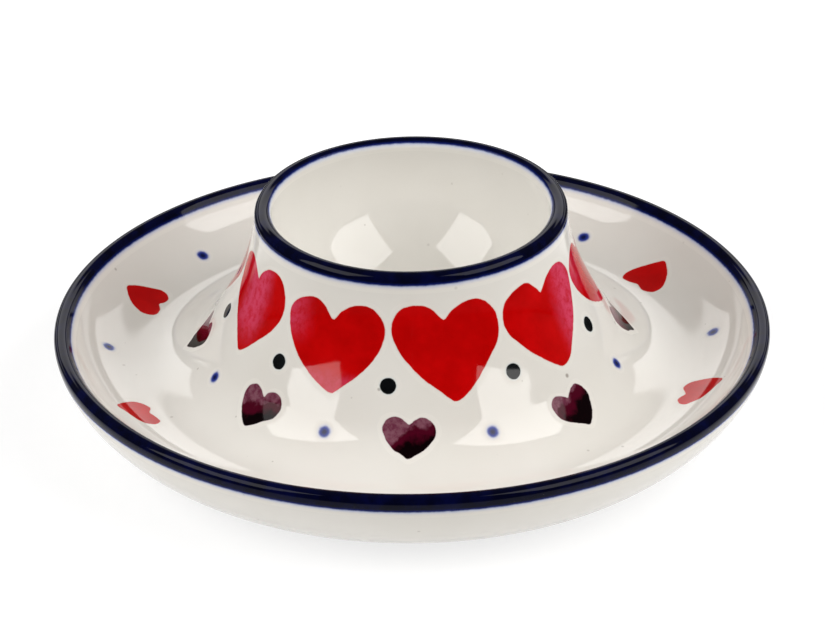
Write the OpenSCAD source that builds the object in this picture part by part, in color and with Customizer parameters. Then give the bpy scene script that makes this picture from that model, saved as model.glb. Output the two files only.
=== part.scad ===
// Footed egg cup whose cup and catch saucer are one glazed stoneware piece, painted round both rims.
// Z runs up the axis of the cup, and the foot rests on Z = 0. The side at -Y is the front.

/* [Saucer] */
// Overall diameter of the saucer
saucer_d = 130.4; // [124:0.2:140]
// Height of the saucer's rim over the table
saucer_h = 19; // [18:0.5:22]
// Thickness of the saucer's rounded rim
rim_t = 2.7; // [2:0.1:3.6]
// Slope of the saucer's inner wall under the rim, in degrees from level
rim_slope = 52.3; // [45:0.1:56]
// Height of the channel round the cup, at its lowest
channel_z = 10.6; // [9.4:0.1:11.4]
// Radius of the rounds at the channel's two sides
channel_round_r = 14.2; // [12:0.1:16]
// Thickness of the wall under the channel and inside the flared collar
wall_t = 4.5; // [3.6:0.1:5]

/* [Foot] */
// Overall diameter of the foot ring
foot_d = 96; // [91:1:100]
// Height of the bare foot ring
foot_h = 1.5; // [1:0.1:2.2]
// Width of the face that the foot ring stands on, with its rounded edges
foot_w = 4.5; // [3:0.1:5.5]
// Radius of the foot ring's worn edges
foot_edge = 0.5; // [0.3:0.1:0.7]

/* [Cup] */
// Overall height of the cup
cup_h = 42.8; // [41:0.1:47]
// Outer diameter of the cup's lip
lip_d = 56.5; // [53:0.5:60]
// Thickness of the rounded lip
lip_t = 3; // [2.4:0.1:3.6]
// Depth of the egg well under the lip
well_depth = 28.1; // [26:0.1:30]
// Thickness of the well's wall at its round bottom
well_t = 4.2; // [3.4:0.1:4.8]
// Height of the lip's crown over the joint with the collar
lip_crown = 3.4; // [3.2:0.1:5]
// Height at which the collar's sweep runs out into its straight stretch
flare_top_z = 23.4; // [21.5:0.1:24.5]
// Slope of the collar just under the lip, in degrees from level
lip_slope = 85.1; // [83:0.1:88]
// Slope of the collar's straight stretch, in degrees from level
flare_slope = 60.3; // [57:0.1:63]
// Height of the closed top of the hollow between the collar and the well
hollow_z = 25; // [22:0.5:26]

/* [Painted bands] */
// How far the saucer's band runs down the outside of the rim
saucer_band = 2.7; // [2.2:0.1:4.5]
// How far the cup's band runs down the outside of the lip
cup_band = 1.9; // [1.7:0.1:3.2]
// How far the saucer's band runs down the inner wall
saucer_inner_band = 1.3; // [1:0.1:1.8]
// How far the cup's band runs down into the well
cup_inner_band = 0.6; // [0.4:0.1:1.4]
// Thickness of the painted layers
paint_t = 0.2; // [0.1:0.05:0.3]

/* [Painted hearts and dots] */
// Width of the large hearts, as a share of the height of the collar's painted field
collar_heart_share = 0.614; // [0.5:0.002:0.64]
// Width of the plum hearts at the collar's foot, as a share of the same height
plum_heart_share = 0.31; // [0.25:0.002:0.36]
// Width of the hearts on the saucer's inner wall
rim_heart_w = 8.4; // [6:0.2:10]
// Diameter of the black dots between the large hearts
black_dot_d = 2.9; // [2:0.1:4]
// Diameter of the blue dots between the plum hearts
foot_dot_d = 2; // [1.4:0.1:3]
// Diameter of the blue dots on the saucer's inner wall
rim_dot_d = 2.1; // [1.4:0.1:3]
// How far up the painted field the middles of the large hearts stand
collar_heart_up_share = 0.604; // [0.58:0.002:0.62]
// How far up it the middles of the plum hearts stand
plum_heart_up_share = 0.178; // [0.15:0.002:0.21]
// How far up it the middles of the black dots stand
black_dot_up_share = 0.432; // [0.4:0.002:0.46]
// How far up it the middles of the blue dots between the plum hearts stand
foot_dot_up_share = 0.165; // [0.12:0.002:0.2]
// Distance from the saucer's edge to the middles of the hearts on its inner wall
rim_heart_in = 11.6; // [10:0.1:12]
// Distance from the saucer's edge to the middles of the dots on its inner wall
rim_dot_in = 9.4; // [8:0.1:12]

/* [Hidden] */
$fn = 96;
// Film of slip that the well's wall is bedded in, inside the collar
slip_gap = 0.04;
// Film of glaze between the clay and a painted layer
glaze_gap = 0.02;
// How far the well's cut runs past the lip
over = 4;
// Most of the channel's width, and of its depth, that the rounds at its sides may take up
round_width_share = 0.985;
round_depth_share = 0.9;
// Depth of the straight block that a heart or dot is cut from, each way from the surface
stamp_reach = 3;
// Roundness of the saucer's outer wall, and the steps that it is drawn in
belly_power = 1.56;
belly_steps = 18;
// Steps that the rim's round and the wall's underside are drawn in
round_steps = 12;
// Steps that a painted band is drawn in, round the crown and down the skirt
crown_steps = 24;
skirt_steps = 6;
// Points round a heart, the waves that add up to its outline, and where their middle lies, as shares of its width
heart_steps = 44;
heart_wave_shares = [0.40625, -0.15625, -0.0625, -0.03125];
heart_middle_share = -0.078;

// Azimuths of the hand-placed motifs, in degrees from the front towards +X, and the turn of each on the surface
collar_heart_angles = [[-65, 10], [-27, 3], [12, 3], [50.5, -1], [91, 4], [131, -3], [171, 5], [212, -4], [254, 2]];
black_dot_angles = [-82.5, -44.7, -7.4, 32, 70.3, 111, 151, 191, 233];
plum_heart_angles = [[-92, 6], [-45, -4], [-1, 3], [48, 5], [99, -5], [143, 4], [184, -3], [226, 5]];
foot_dot_angles = [-67.3, -24, 21.4, 73, 120, 163, 205, 247];
rim_heart_angles = [[-115.3, 20], [-69.3, -8], [-24, 10], [23, -12], [75.5, 10], [124.6, -18], [168, 9], [206, -7]];
rim_dot_angles = [-135, -93.7, -46, 0, 47, 97.2, 144, 184];

// The well, the lip and the round that joins them
lip_r = lip_t / 2;
lip_mid = lip_d / 2 - lip_r;
lip_z = cup_h - lip_r;
well_r = lip_mid - lip_r;
well_z = cup_h - well_depth + well_r;
joint_z = cup_h - lip_crown;
// The collar's painted field, from the channel up to the band
field_h = cup_h - cup_band - channel_z;

// Direction square to a collar wall of this slope, pointing out of it
function square_to(slope) = [sin(slope), cos(slope)];
// Direction square to a saucer wall of this slope, pointing up out of it
function up_from(slope) = [-sin(slope), cos(slope)];

// The sweep, which the lip's round touches
sweep_r = (lip_z + lip_r * cos(lip_slope) - flare_top_z) / (cos(flare_slope) - cos(lip_slope));
sweep_c = [lip_mid, lip_z] + (lip_r + sweep_r) * square_to(lip_slope);
// Where the sweep runs out into the straight flare
sweep_end = sweep_c - sweep_r * square_to(flare_slope);
// The rim's round, and where the saucer's inner wall leaves it
rim_r = rim_t / 2;
rim_c = [saucer_d / 2 - rim_r, saucer_h - rim_r];
wall_top = rim_c + rim_r * up_from(rim_slope);
// Where the flare and the inner wall would meet the level of the channel's lowest line
flare_foot_r = sweep_end[0] + (sweep_end[1] - channel_z) / tan(flare_slope);
wall_foot_r = wall_top[0] - (wall_top[1] - channel_z) / tan(rim_slope);
// The channel's rounds, which touch that level and the flare or the inner wall, with a level floor between them
channel_r = min(channel_round_r,
                round_width_share * (wall_foot_r - flare_foot_r) / (tan(flare_slope / 2) + tan(rim_slope / 2)),
                round_depth_share * (wall_top[1] - channel_z) / (1 - cos(rim_slope)));
channel_in_c = [flare_foot_r + channel_r * tan(flare_slope / 2), channel_z + channel_r];
channel_out_c = [wall_foot_r - channel_r * tan(rim_slope / 2), channel_z + channel_r];

foot_r = foot_d / 2;
foot_in = foot_r - foot_w;

// Points on the collar's surface moved out by a distance: the flare's lower and upper end, and under the lip
function flare_low(out) = channel_in_c - (channel_r - out) * square_to(flare_slope);
function flare_high(out) = sweep_end + out * square_to(flare_slope);
function lip_low(out) = sweep_c - (sweep_r - out) * square_to(lip_slope);
// Points on the saucer's inner wall moved up by a distance: the lower and upper end of its straight stretch
function wall_low(out) = channel_out_c - (channel_r - out) * up_from(rim_slope);
function wall_high(out) = wall_top + out * up_from(rim_slope);
// Points along an arc, between two directions
function arc(centre, r, from_a, to_a, steps) = [for (i = [0:steps])
    let (a = from_a + (to_a - from_a) * i / steps) centre + r * [cos(a), sin(a)]];
// How far the outer wall reaches past the foot, and how far it rises over it
belly_reach = [saucer_d / 2 - foot_r, rim_c[1] - foot_h];
// Points down the saucer's outer wall, from under the rim's round to the foot
function belly() = [for (i = [1:belly_steps])
    let (a = 90 * i / belly_steps, wide = pow(cos(a), 2 / belly_power), deep = pow(sin(a), 2 / belly_power))
    [foot_r + belly_reach[0] * wide, rim_c[1] - belly_reach[1] * deep]];
// Point on the outer wall at this depth under the middle of the rim's round, moved out by a distance
function belly_at(drop, out) =
    let (wide = pow(1 - pow(drop / belly_reach[1], belly_power), 1 / belly_power))
    [foot_r + out + belly_reach[0] * wide, rim_c[1] - drop];

// The space that the sweep cuts from the collar, its surface moved out or in by a distance
module sweep_void(out) {
    intersection() {
        translate(sweep_c) circle(sweep_r - out, $fn = 4 * $fn);
        translate([0, flare_low(0)[1]]) square([channel_in_c[0], cup_h]);
    }
}

// Everything inside the collar's surface, moved out or in by a distance, down to the given lowest points
module collar_mass(out, ends = []) {
    feet = concat(ends, [flare_low(out)]);
    difference() {
        polygon(concat([[0, feet[0][1]]], feet, [flare_high(out), lip_low(out), [lip_mid, lip_z], [0, lip_z]]));
        sweep_void(out);
    }
}

// Everything under the whole upper face, from the lip over the channel to the rim, moved out by a distance
module face_mass(out) {
    difference() {
        polygon([[0, 0], [rim_c[0], 0], rim_c, wall_high(out), wall_low(out),
                 [channel_out_c[0], channel_z + out], [channel_in_c[0], channel_z + out],
                 flare_low(out), flare_high(out), lip_low(out), [lip_mid, lip_z], [0, lip_z]]);
        for (c = [channel_in_c, channel_out_c]) translate(c) circle(channel_r - out);
        sweep_void(out);
    }
}

// The painted layer over that face, as a section
module face_layer() {
    difference() {
        face_mass(glaze_gap + paint_t);
        face_mass(glaze_gap);
    }
}

// Keeps what lies between two heights
module between(low_z, high_z) {
    intersection() {
        children();
        translate([0, low_z]) square([saucer_d, high_z - low_z]);
    }
}

// The well's wall as a solid, with its round bottom and its neck, grown by a film
module bowl_mass(film) {
    bottom = well_z - well_r - well_t - film;
    intersection() {
        translate([0, well_z]) circle(well_r + well_t + film);
        translate([0, bottom]) square([lip_mid + film, lip_z - bottom]);
    }
}

// The well that the egg sits in
module well_void() {
    intersection() {
        translate([0, well_z]) circle(well_r);
        translate([0, well_z - well_r]) square([well_r, well_r]);
    }
    translate([0, well_z]) square([well_r, cup_h - well_z + over]);
}

// Ring of paint on the glaze, between the points of a line at the layer's inner and outer face
module painted_ring(inner, outer) {
    rotate_extrude() polygon(concat(inner, [for (i = [len(outer) - 1:-1:0]) outer[i]]));
}

// Outline of a heart of a given width, with its point down and its middle on the origin
function heart(w) = [for (i = [0:heart_steps - 1])
    let (a = 360 * i / heart_steps, waves = [for (k = [0:3]) heart_wave_shares[k] * cos((k + 1) * a)])
    w * [pow(sin(a), 3) / 2, waves[0] + waves[1] + waves[2] + waves[3] - heart_middle_share]];

// Moves an outline on to a turned wall at [radius, height], facing out along a slope
module stamp(azimuth, place, slope, turn) {
    rotate([0, 0, azimuth])
        translate([0, -place[0], place[1]])
            rotate([slope, 0, 0])
                rotate([0, 0, turn])
                    translate([0, 0, -stamp_reach])
                        linear_extrude(2 * stamp_reach) children();
}

// Slope of the collar and of the channel's inner half at a height, and the point there
function collar_slope(z) = z > sweep_end[1] ? acos((sweep_c[1] - z) / sweep_r)
    : z > flare_low(0)[1] ? flare_slope : acos((channel_in_c[1] - z) / channel_r);
function collar_at(z) = z > sweep_end[1] ? sweep_c - sweep_r * square_to(collar_slope(z))
    : z > flare_low(0)[1] ? [sweep_end[0] + (sweep_end[1] - z) / tan(flare_slope), z]
    : channel_in_c - channel_r * square_to(collar_slope(z));
// Slope of the channel's outer side and of the inner wall at a distance in from the saucer's edge, and the point
function wall_slope(in) = saucer_d / 2 - in > wall_low(0)[0] ? rim_slope
    : asin((saucer_d / 2 - in - channel_out_c[0]) / channel_r);
function wall_at(in) = saucer_d / 2 - in > wall_low(0)[0]
    ? [saucer_d / 2 - in, wall_top[1] - (wall_top[0] - saucer_d / 2 + in) * tan(rim_slope)]
    : channel_out_c - channel_r * up_from(wall_slope(in));

// Hearts in the painted layer of the collar, at a share of its field's height, and dots
module hearts_on_collar(at, up_share, w_share) {
    z = channel_z + up_share * field_h;
    intersection() {
        rotate_extrude() face_layer();
        for (h = at) stamp(h[0], collar_at(z), collar_slope(z), h[1]) polygon(heart(w_share * field_h));
    }
}
module dots_on_collar(at, up_share, d) {
    z = channel_z + up_share * field_h;
    intersection() {
        rotate_extrude() face_layer();
        for (a = at) stamp(a, collar_at(z), collar_slope(z), 0) circle(d = d);
    }
}

module saucer() {
    under_r = channel_r + wall_t;
    over_foot_a = 360 - acos((foot_in - channel_in_c[0]) / under_r);
    color("ivory") rotate_extrude() difference() {
        polygon(concat([flare_low(0), [channel_in_c[0], channel_z], [channel_out_c[0], channel_z], wall_low(0)],
                       arc(rim_c, rim_r, 90 + rim_slope, 0, round_steps),
                       belly(),
                       [[foot_in, foot_h]],
                       arc(channel_in_c, under_r, over_foot_a, 270 - flare_slope, round_steps)));
        for (c = [channel_in_c, channel_out_c]) translate(c) circle(channel_r);
    }
}

module foot_ring() {
    color("tan") rotate_extrude()
        polygon([[foot_in, foot_h], [foot_in, foot_edge], [foot_in + foot_edge, 0],
                 [foot_r - foot_edge, 0], [foot_r, foot_edge], [foot_r, foot_h]]);
}

module cup_collar() {
    color("ivory") rotate_extrude() difference() {
        // The collar stands on the saucer at a slanted joint, square to both walls
        between(0, joint_z) collar_mass(0, [flare_low(-wall_t)]);
        between(0, hollow_z) collar_mass(-wall_t);
        bowl_mass(slip_gap);
    }
}

module egg_bowl() {
    color("ivory") rotate_extrude() difference() {
        union() {
            bowl_mass(0);
            between(joint_z, lip_z) collar_mass(0);
            translate([lip_mid, lip_z]) circle(lip_r);
        }
        well_void();
    }
}

// Points of the saucer's band at a distance from the surface: up the outer wall, round the rim, down the inner wall
function saucer_band_line(out) =
    let (drop = saucer_band - rim_r,
         run = (saucer_inner_band - rim_r * (1 - cos(rim_slope))) / sin(rim_slope))
    concat([for (i = [skirt_steps:-1:1]) belly_at(i * drop / skirt_steps, out)],
           arc(rim_c, rim_r + out, 0, 90 + rim_slope, crown_steps),
           [wall_high(out) - run * [cos(rim_slope), sin(rim_slope)]]);

// Points of the cup's band: up the collar, round the lip, and down into the well
function cup_band_line(out) =
    let (low_slope = acos((sweep_c[1] - cup_h + cup_band) / (sweep_r - out)))
    concat([for (i = [0:skirt_steps - 1])
                sweep_c - (sweep_r - out) * square_to(low_slope + (lip_slope - low_slope) * i / skirt_steps)],
           arc([lip_mid, lip_z], lip_r + out, 90 - lip_slope,
               180 - asin((lip_r - cup_inner_band) / lip_r), crown_steps));

module saucer_rim_band() {
    color("midnightblue") painted_ring(saucer_band_line(glaze_gap), saucer_band_line(glaze_gap + paint_t));
}

module cup_rim_band() {
    color("midnightblue") painted_ring(cup_band_line(glaze_gap), cup_band_line(glaze_gap + paint_t));
}

module collar_hearts() {
    color("crimson") hearts_on_collar(collar_heart_angles, collar_heart_up_share, collar_heart_share);
}

module black_dots() {
    color("black") dots_on_collar(black_dot_angles, black_dot_up_share, black_dot_d);
}

module plum_hearts() {
    color("purple") hearts_on_collar(plum_heart_angles, plum_heart_up_share, plum_heart_share);
}

module foot_dots() {
    color("royalblue") dots_on_collar(foot_dot_angles, foot_dot_up_share, foot_dot_d);
}

module rim_hearts() {
    color("crimson") intersection() {
        rotate_extrude() face_layer();
        // Turned so that the points look out towards the rim
        for (h = rim_heart_angles)
            stamp(h[0], wall_at(rim_heart_in), -wall_slope(rim_heart_in), h[1]) polygon(heart(rim_heart_w));
    }
}

module rim_dots() {
    color("royalblue") intersection() {
        rotate_extrude() face_layer();
        for (a = rim_dot_angles) stamp(a, wall_at(rim_dot_in), -wall_slope(rim_dot_in), 0) circle(d = rim_dot_d);
    }
}

saucer();
foot_ring();
cup_collar();
egg_bowl();
saucer_rim_band();
cup_rim_band();
collar_hearts();
black_dots();
plum_hearts();
foot_dots();
rim_hearts();
rim_dots();
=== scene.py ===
import math

import bpy
import numpy as np
from mathutils import Matrix, Vector


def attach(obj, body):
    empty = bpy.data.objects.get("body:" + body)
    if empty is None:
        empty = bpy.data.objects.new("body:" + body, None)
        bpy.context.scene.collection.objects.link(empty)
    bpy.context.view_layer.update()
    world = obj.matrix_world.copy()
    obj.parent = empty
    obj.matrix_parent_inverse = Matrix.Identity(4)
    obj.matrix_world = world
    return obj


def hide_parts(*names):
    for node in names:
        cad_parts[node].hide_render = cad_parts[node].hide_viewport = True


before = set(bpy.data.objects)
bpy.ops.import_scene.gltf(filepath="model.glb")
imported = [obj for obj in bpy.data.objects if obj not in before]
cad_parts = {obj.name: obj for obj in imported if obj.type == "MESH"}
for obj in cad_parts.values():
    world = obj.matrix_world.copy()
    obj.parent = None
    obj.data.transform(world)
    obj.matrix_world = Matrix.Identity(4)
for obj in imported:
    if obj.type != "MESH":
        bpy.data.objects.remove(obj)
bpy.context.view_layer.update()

# All sizes of the section are in millimetres and its slopes in degrees, as in the solids
MM = 0.001
LIP_MID, LIP_Z, LIP_R = 26.75, 41.3, 1.5
WELL_R, WELL_Z, WELL_T = 25.25, 39.95, 4.2
LIP_SLOPE, FLARE_SLOPE, RIM_SLOPE = 85.1, 60.3, 52.3
FLARE_TOP_Z, CHANNEL_Z, WALL_T = 23.4, 10.6, 4.5
RIM_MID, RIM_Z, RIM_R = 63.85, 17.65, 1.35
CHANNEL_R = 14.2
FOOT_R, FOOT_IN, FOOT_H = 48.0, 43.5, 1.5
JOINT_Z, HOLLOW_Z, SLIP = 39.4, 25.0, 0.04
BELLY_POWER = 1.56
TURNS = 480
# The cup leans to its left, by this share of the distance from the axis, and stands a little low
CUP_LEAN, CUP_SINK = 0.0065, 0.05
# Distances between rings: on the plain face, on the two crowns, and under a painted band
PITCH, CROWN_PITCH, BAND_PITCH, BAND_UNDER_PITCH = 0.6, 0.12, 0.16, 0.4


def cosd(a):
    return math.cos(math.radians(a))


def sind(a):
    return math.sin(math.radians(a))


# The section's main points, found as the solids' source finds them
SWEEP_R = (LIP_Z + LIP_R * cosd(LIP_SLOPE) - FLARE_TOP_Z) / (cosd(FLARE_SLOPE) - cosd(LIP_SLOPE))
SWEEP_C = (LIP_MID + (LIP_R + SWEEP_R) * sind(LIP_SLOPE), LIP_Z + (LIP_R + SWEEP_R) * cosd(LIP_SLOPE))
SWEEP_END = (SWEEP_C[0] - SWEEP_R * sind(FLARE_SLOPE), SWEEP_C[1] - SWEEP_R * cosd(FLARE_SLOPE))
WALL_TOP = (RIM_MID - RIM_R * sind(RIM_SLOPE), RIM_Z + RIM_R * cosd(RIM_SLOPE))
FLARE_FOOT = SWEEP_END[0] + (SWEEP_END[1] - CHANNEL_Z) / math.tan(math.radians(FLARE_SLOPE))
WALL_FOOT = WALL_TOP[0] - (WALL_TOP[1] - CHANNEL_Z) / math.tan(math.radians(RIM_SLOPE))
HALF_TANS = [math.tan(math.radians(a / 2)) for a in (FLARE_SLOPE, RIM_SLOPE)]
CHANNEL_C = (FLARE_FOOT + CHANNEL_R * HALF_TANS[0], CHANNEL_Z + CHANNEL_R)
CHANNEL_OUT_C = (WALL_FOOT - CHANNEL_R * HALF_TANS[1], CHANNEL_Z + CHANNEL_R)


def arc(centre, radius, start, end, count=200):
    """Points round a centre in the section, between two directions in degrees."""
    a = np.radians(np.linspace(start, end, count))
    return np.stack([centre[0] + radius * np.cos(a), centre[1] + radius * np.sin(a)], 1)


def belly(count=400):
    """Points down the saucer's outer wall."""
    a = np.linspace(0, math.pi / 2, count)
    reach, drop = RIM_MID + RIM_R - FOOT_R, RIM_Z - FOOT_H
    power = 2 / BELLY_POWER
    return np.stack([FOOT_R + reach * np.cos(a) ** power, RIM_Z - drop * np.sin(a) ** power], 1)


class Line:
    """A smooth line of the section with its clay on the right, read by the distance along it."""

    STEP = 0.02

    def __init__(self, *parts):
        raw = np.concatenate([np.asarray(p, float) for p in parts])
        keep = np.r_[True, np.hypot(*np.diff(raw, axis=0).T) > 1e-6]
        raw = raw[keep]
        along = np.r_[0, np.cumsum(np.hypot(*np.diff(raw, axis=0).T))]
        self.s = np.arange(0, along[-1], self.STEP)
        self.length = along[-1]
        self.rz = np.stack([np.interp(self.s, along, raw[:, k]) for k in (0, 1)], 1)
        tangent = np.gradient(self.rz, axis=0)
        tangent /= np.hypot(*tangent.T)[:, None]
        self.normal = np.stack([-tangent[:, 1], tangent[:, 0]], 1)

    def read(self, s):
        """Radius, height and outward direction at distances along the line."""
        return [np.interp(s, self.s, column) for column in (*self.rz.T, *self.normal.T)]

    def nearest(self, r, z, low=0.0, high=1e9):
        """Distance along the line of the point nearest to a radius and height."""
        gap = np.hypot(self.rz[:, 0] - r, self.rz[:, 1] - z)
        gap[(self.s < low) | (self.s > high)] = 1e9
        return float(self.s[np.argmin(gap)])


face = Line(
    arc((0, WELL_Z), WELL_R, -90, 0, 1500),
    [(WELL_R, LIP_Z)],
    arc((LIP_MID, LIP_Z), LIP_R, 180, 90 - LIP_SLOPE),
    arc(SWEEP_C, SWEEP_R, 270 - LIP_SLOPE, 270 - FLARE_SLOPE, 900),
    arc(CHANNEL_C, CHANNEL_R, 270 - FLARE_SLOPE, 270, 500),
    arc(CHANNEL_OUT_C, CHANNEL_R, 270, 270 + RIM_SLOPE, 500),
    arc((RIM_MID, RIM_Z), RIM_R, 90 + RIM_SLOPE, 0),
    belly(),
)
LIP_TOP_S = face.nearest(LIP_MID, LIP_Z + LIP_R)
JOINT_S = face.nearest(SWEEP_C[0] - math.sqrt(SWEEP_R**2 - (SWEEP_C[1] - JOINT_Z) ** 2), JOINT_Z, LIP_TOP_S)
FLARE_LOW = (CHANNEL_C[0] - CHANNEL_R * sind(FLARE_SLOPE), CHANNEL_C[1] - CHANNEL_R * cosd(FLARE_SLOPE))
FLARE_LOW_S = face.nearest(*FLARE_LOW)
RIM_TOP_S = face.nearest(RIM_MID, RIM_Z + RIM_R)


def smooth(x, low, high):
    """0 under low, 1 over high and an even rise between."""
    t = np.clip((x - low) / (high - low), 0, 1)
    return t * t * (3 - 2 * t)


def wobble(s, az):
    """How far the hand-thrown surface stands out from the true section, in millimetres."""
    fade = smooth(s, 4, 22) * (1 - smooth(s, face.length - 12, face.length - 1))
    reach = 0.045 + 0.05 * smooth(s, FLARE_LOW_S, RIM_TOP_S)
    lobes = 0.5 * np.cos(2 * az + 1.1) + 0.35 * np.cos(3 * az - 0.7 + 0.05 * s)
    lobes = lobes + 0.3 * np.cos(5 * az + 2 - 0.08 * s)
    rings = 0.0022 * np.cos(2 * math.pi * s / 5.3 + az) * smooth(s, LIP_TOP_S + 6, LIP_TOP_S + 12)
    return fade * (reach * lobes + rings)


def skin(s, az, lift=0.0):
    """Points on the glazed face, lifted off it, and the face's own outward directions there."""

    def at(s, az, lift):
        r, z, out_r, out_z = face.read(s)
        stand = wobble(s, az) + lift
        r = r + stand * out_r
        on_cup = smooth(s, 5, 25) * (1 - smooth(s, FLARE_LOW_S - 16, FLARE_LOW_S))
        z = z + on_cup * (CUP_LEAN * r * np.sin(az) - CUP_SINK)
        return np.stack([r * np.sin(az), -r * np.cos(az), z + stand * out_z], -1)

    ds, da = 0.04, 0.002
    along = at(s + ds, az, 0) - at(s - ds, az, 0)
    round_ = at(s, az + da, 0) - at(s, az - da, 0)
    normal = np.cross(along, round_)
    size = np.linalg.norm(normal, axis=-1, keepdims=True)
    normal = np.where(size > 1e-9, normal / np.maximum(size, 1e-12), (0, 0, 1))
    return at(s, az, lift) * MM, normal


AZ = np.linspace(0, 2 * math.pi, TURNS, endpoint=False)


def steps(low, high, pitch):
    """Evenly spaced values from low to high, about a pitch apart."""
    return np.linspace(low, high, max(2, int(math.ceil(abs(high - low) / pitch)) + 1))


CROWNS = ((LIP_TOP_S - 2.4, LIP_TOP_S + 2.4), (RIM_TOP_S - 1.5, RIM_TOP_S + 3))


def face_chain(low, high, pitch=PITCH, lift=None):
    """Rings of points and directions on the glazed face, between two distances along it."""
    cuts = [low, *[x for crown in CROWNS for x in crown if low < x < high], high]
    parts = []
    for a, b in zip(cuts[:-1], cuts[1:]):
        on_crown = any(start < (a + b) / 2 < end for start, end in CROWNS)
        parts.append(steps(a, b, CROWN_PITCH if on_crown else pitch))
    s = np.concatenate([parts[0], *[p[1:] for p in parts[1:]]])
    grid_s, grid_az = np.meshgrid(s, AZ, indexing="ij")
    height = 0.0 if lift is None else lift(grid_s)
    return (*skin(grid_s, grid_az, height), grid_s, grid_az)


def turned_round(rz):
    """Each (radius, height) as a ring of points."""
    r, z = rz.T
    return np.stack([np.outer(r, np.sin(AZ)), -np.outer(r, np.cos(AZ)), np.outer(z, np.ones(TURNS))], -1)


def plain_chain(points):
    """The same for a line that is turned true: points are (radius, height), with the clay on the right."""
    p = np.asarray(points, float)
    tangent = np.gradient(p, axis=0)
    tangent /= np.hypot(*tangent.T)[:, None]
    return turned_round(p) * MM, turned_round(np.stack([-tangent[:, 1], tangent[:, 0]], 1))


def make_mesh(name, verts, faces, loop_normals, attributes=None):
    """An object from points, faces of 3 or 4 corners and a direction for each corner."""
    me = bpy.data.meshes.new(name)
    me.from_pydata(verts.tolist(), [], faces)
    me.polygons.foreach_set("use_smooth", np.ones(len(me.polygons), bool))
    for key, values in (attributes or {}).items():
        values = np.asarray(values, np.float32)
        kind = "FLOAT" if values.ndim == 1 else "FLOAT_VECTOR"
        layer = me.attributes.new(key, kind, "POINT")
        layer.data.foreach_set("value" if values.ndim == 1 else "vector", values.ravel())
    me.normals_split_custom_set(loop_normals)
    ob = bpy.data.objects.new(name, me)
    bpy.context.scene.collection.objects.link(ob)
    return ob


def turned(name, chains):
    """A closed turned piece.

    Each chain is (rings, directions), and ends where the next begins. The first and the last ring may lie
    on the axis.
    """
    verts, faces, normals = [], [], []
    first, last_ring = chains[0][0][0], chains[-1][0][-1]
    closed = np.abs(first - last_ring).max() < 1e-7 and np.abs(first[:, :2]).max() > 1e-7
    rows = []
    for number, chain in enumerate(chains):
        rings = chain[0]
        ids = []
        for k in range(len(rings)):
            last = number == len(chains) - 1 and k == len(rings) - 1
            if number and k == 0:
                ids.append(rows[-1][-1])
            elif last and closed:
                ids.append(rows[0][0])
            elif np.abs(rings[k, :, :2]).max() < 1e-7:
                ids.append(np.full(TURNS, len(verts)))
                verts.append(rings[k, 0])
            else:
                ids.append(np.arange(TURNS) + len(verts))
                verts.extend(rings[k])
        rows.append(ids)
        for k in range(len(rings) - 1):
            lower, upper = ids[k], ids[k + 1]
            out, out_up = chain[1][k], chain[1][k + 1]
            for j in range(TURNS):
                i = (j + 1) % TURNS
                corners = [(lower[j], out[j]), (upper[j], out_up[j])]
                corners += [(upper[i], out_up[i]), (lower[i], out[i])]
                kept = []
                for c in corners:
                    if not kept or c[0] != kept[-1][0]:
                        kept.append(c)
                if kept[0][0] == kept[-1][0]:
                    kept.pop()
                if len(kept) > 2:
                    faces.append([int(c[0]) for c in kept])
                    normals.extend(c[1] for c in kept)
    return make_mesh(name, np.array(verts), faces, np.array(normals).tolist())


def line_points(a, b, pitch=1.5):
    """Evenly spaced points from a to b."""
    count = max(2, int(math.dist(a, b) / pitch) + 1)
    return np.linspace(a, b, count)


def joined_ends(first, second):
    """A flat ring of clay between the last ring of one chain and the first of another."""
    a, b = first[0][-1], second[0][0]
    rings = np.stack([a, b])
    along = b - a
    round_ = np.roll(a, -1, 0) - np.roll(a, 1, 0)
    out = np.cross(along, round_)
    out /= np.maximum(np.linalg.norm(out, axis=1, keepdims=True), 1e-12)
    return rings, np.stack([out, out])


# Inner sides of the section
def bowl_side(z, film=0.0):
    """Radius of the well wall's outer side at a height."""
    reach = WELL_R + WELL_T + film
    return min(LIP_MID + film, math.sqrt(max(reach**2 - (z - WELL_Z) ** 2, 0)))


FLARE_IN = (FLARE_LOW[0] - WALL_T * sind(FLARE_SLOPE), FLARE_LOW[1] - WALL_T * cosd(FLARE_SLOPE))


def collar_inside(z):
    """Radius of the collar's inner side at a height."""
    if z > SWEEP_END[1] - WALL_T * cosd(FLARE_SLOPE):
        return SWEEP_C[0] - math.sqrt((SWEEP_R + WALL_T) ** 2 - (SWEEP_C[1] - z) ** 2)
    return FLARE_IN[0] - (z - FLARE_IN[1]) / math.tan(math.radians(FLARE_SLOPE))


UNDER_R = CHANNEL_R + WALL_T
under_start = 360 - math.degrees(math.acos((FOOT_IN - CHANNEL_C[0]) / UNDER_R))
# Heights where the well wall's outer side turns from upright to round, and where its round closes in
NECK_Z, BOTTOM_Z = 30, 14
bottom_start = -math.degrees(math.acos(bowl_side(BOTTOM_Z) / (WELL_R + WELL_T)))

bowl_top = face_chain(0, JOINT_S)
bowl_under = plain_chain(
    [(bowl_side(z), z) for z in steps(JOINT_Z, NECK_Z, 1)]
    + [(bowl_side(z), z) for z in steps(NECK_Z, BOTTOM_Z, 0.8)[1:]]
    + [tuple(p) for p in arc((0, WELL_Z), WELL_R + WELL_T, bottom_start, -90, 30)[1:]]
)
bowl_under[0][-1, :, :2] = 0
bowl_joint = joined_ends(bowl_top, bowl_under)
egg_bowl = turned("egg_bowl_glazed", [bowl_top[:2], bowl_joint, bowl_under])

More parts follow.
